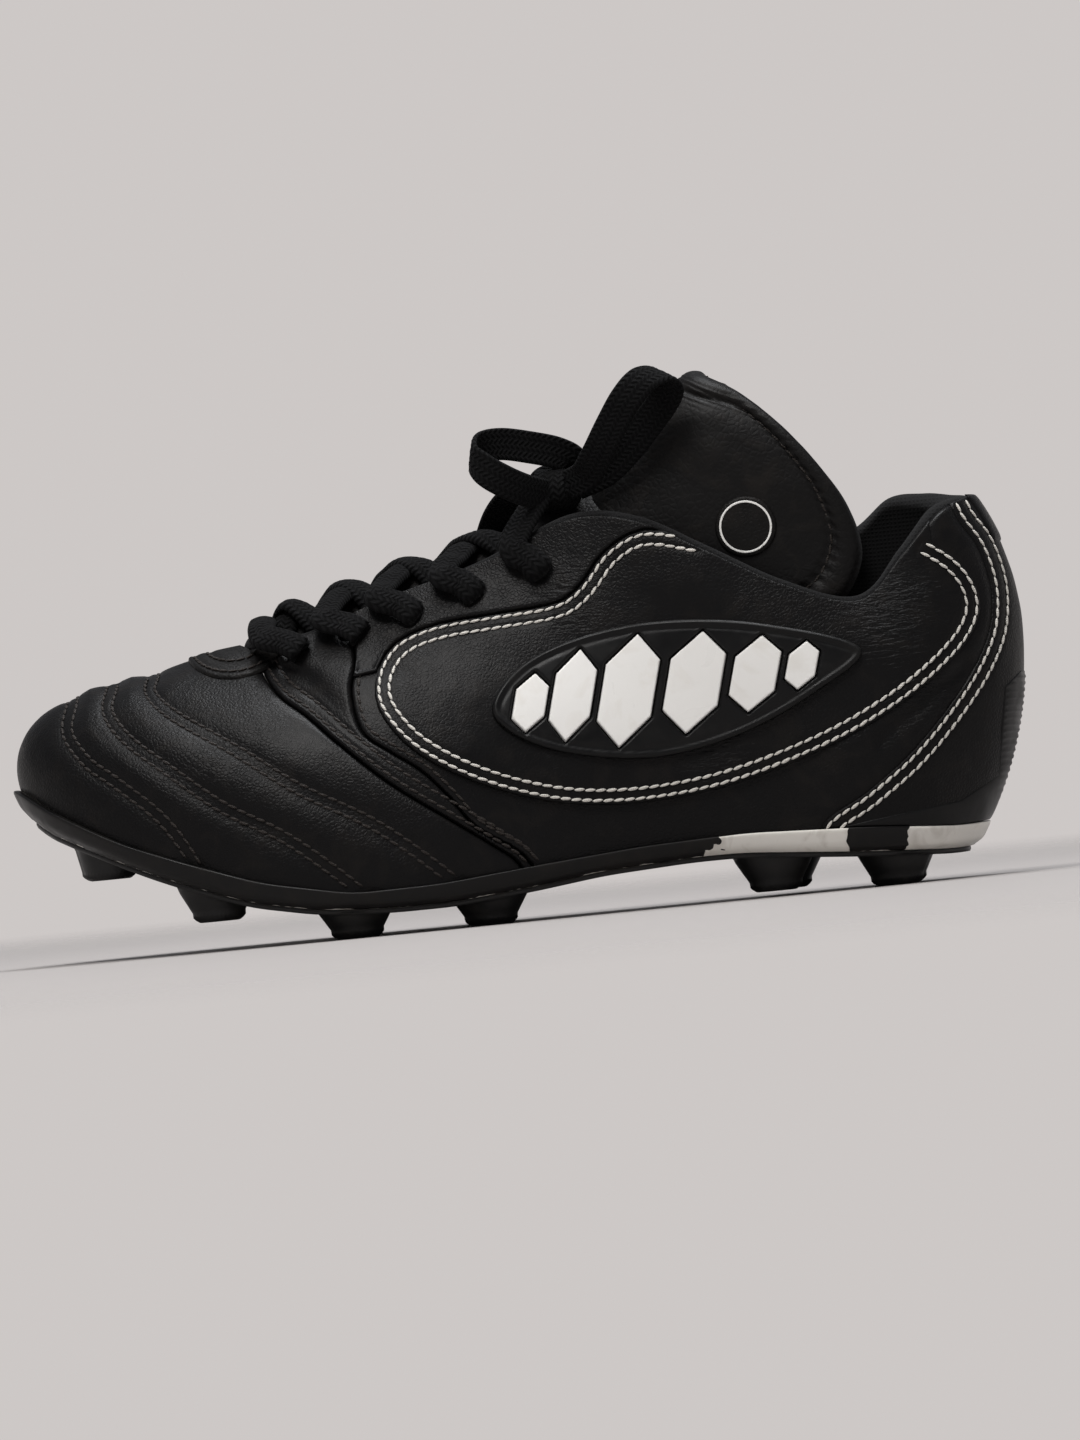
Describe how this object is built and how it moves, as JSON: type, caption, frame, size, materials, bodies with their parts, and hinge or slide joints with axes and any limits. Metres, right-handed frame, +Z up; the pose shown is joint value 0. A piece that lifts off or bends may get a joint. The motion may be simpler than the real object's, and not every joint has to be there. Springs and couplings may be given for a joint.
{
  "type": "football boot",
  "caption": "Low-cut laced football boot for the left foot, with a padded upper, a tongue, a moulded emblem on each side and a studded outsole.",
  "frame": {"origin": "on the ground, under the middle of the boot's bounding box without the free bow loops and lace ends", "axes": "+Z up, -X towards the toe and +X towards the heel, -Y towards the outer side of this left boot"},
  "size_m": [0.2856, 0.0984, 0.1506],
  "materials": {
    "black_leather": "grained, semi-gloss, worn",
    "moulded_black": "smooth moulded, semi-gloss",
    "emblem_white": "semi-gloss",
    "sole_white": "semi-gloss, scuffed",
    "plate_black": "semi-gloss, worn at the tips",
    "lace_cloth": "flat woven",
    "aglet_black": "gloss",
    "lining_cloth": "matt knitted",
    "insole_cloth": "matt knitted",
    "collar_foam": "open foam",
    "stiffener": "thermoplastic sheet",
    "fibre_board": "fibre board"
  },
  "bodies": {
    "root": {"vamp": "black_leather", "lateral_wing": "black_leather", "medial_wing": "black_leather", "lateral_quarter": "black_leather", "medial_quarter": "black_leather", "lateral_saddle_panel": "black_leather", "medial_saddle_panel": "black_leather", "lateral_eyestay": "black_leather", "medial_eyestay": "black_leather", "heel_counter_cover": "black_leather", "throat_patch": "black_leather", "heel_tab": "black_leather", "tongue_base": "black_leather", "heel_guard": "moulded_black", "toe_puff": "stiffener", "heel_stiffener": "stiffener", "collar_foam": "collar_foam", "lining": "lining_cloth", "sole_unit": "sole_white", "outsole_plate": "plate_black", "insole_board": "fibre_board", "lateral_toe_stud": "plate_black", "medial_toe_stud": "plate_black", "lateral_front_stud": "plate_black", "medial_front_stud": "plate_black", "lateral_ball_stud": "plate_black", "medial_ball_stud": "plate_black", "lateral_mid_stud": "plate_black", "medial_mid_stud": "plate_black", "lateral_heel_front_stud": "plate_black", "medial_heel_front_stud": "plate_black", "lateral_heel_rear_stud": "plate_black", "medial_heel_rear_stud": "plate_black", "lateral_emblem_cell_1": "emblem_white", "lateral_emblem_cell_2": "emblem_white", "lateral_emblem_cell_3": "emblem_white", "lateral_emblem_cell_4": "emblem_white", "lateral_emblem_cell_5": "emblem_white", "lateral_emblem_cell_6": "emblem_white", "medial_emblem_cell_1": "emblem_white", "medial_emblem_cell_2": "emblem_white", "medial_emblem_cell_3": "emblem_white", "medial_emblem_cell_4": "emblem_white", "medial_emblem_cell_5": "emblem_white", "medial_emblem_cell_6": "emblem_white", "lateral_emblem_frame": "moulded_black", "medial_emblem_frame": "moulded_black", "lace": "lace_cloth", "lace_knot": "lace_cloth", "bow_loop_front": "lace_cloth", "lace_end_long": "lace_cloth", "lace_end_short": "lace_cloth", "aglet_long": "aglet_black", "aglet_short": "aglet_black"},
    "tongue": {"tongue_flap": "black_leather", "tongue_badge": "emblem_white", "bow_loop_rear": "lace_cloth"},
    "sock_liner": {"insole": "insole_cloth"}
  },
  "joints": [
    {"name": "tongue_fold", "type": "hinge", "parent": "root", "child": "tongue", "pos_m": [0.0237, 0, 0.1145], "axis": [0, -1, 0], "range_deg": [0, 25]},
    {"name": "insole_lift", "type": "hinge", "parent": "root", "child": "sock_liner", "pos_m": [-0.1343, 0.008, 0.0455], "axis": [0, -1, 0], "range_deg": [0, 6]}
  ]
}
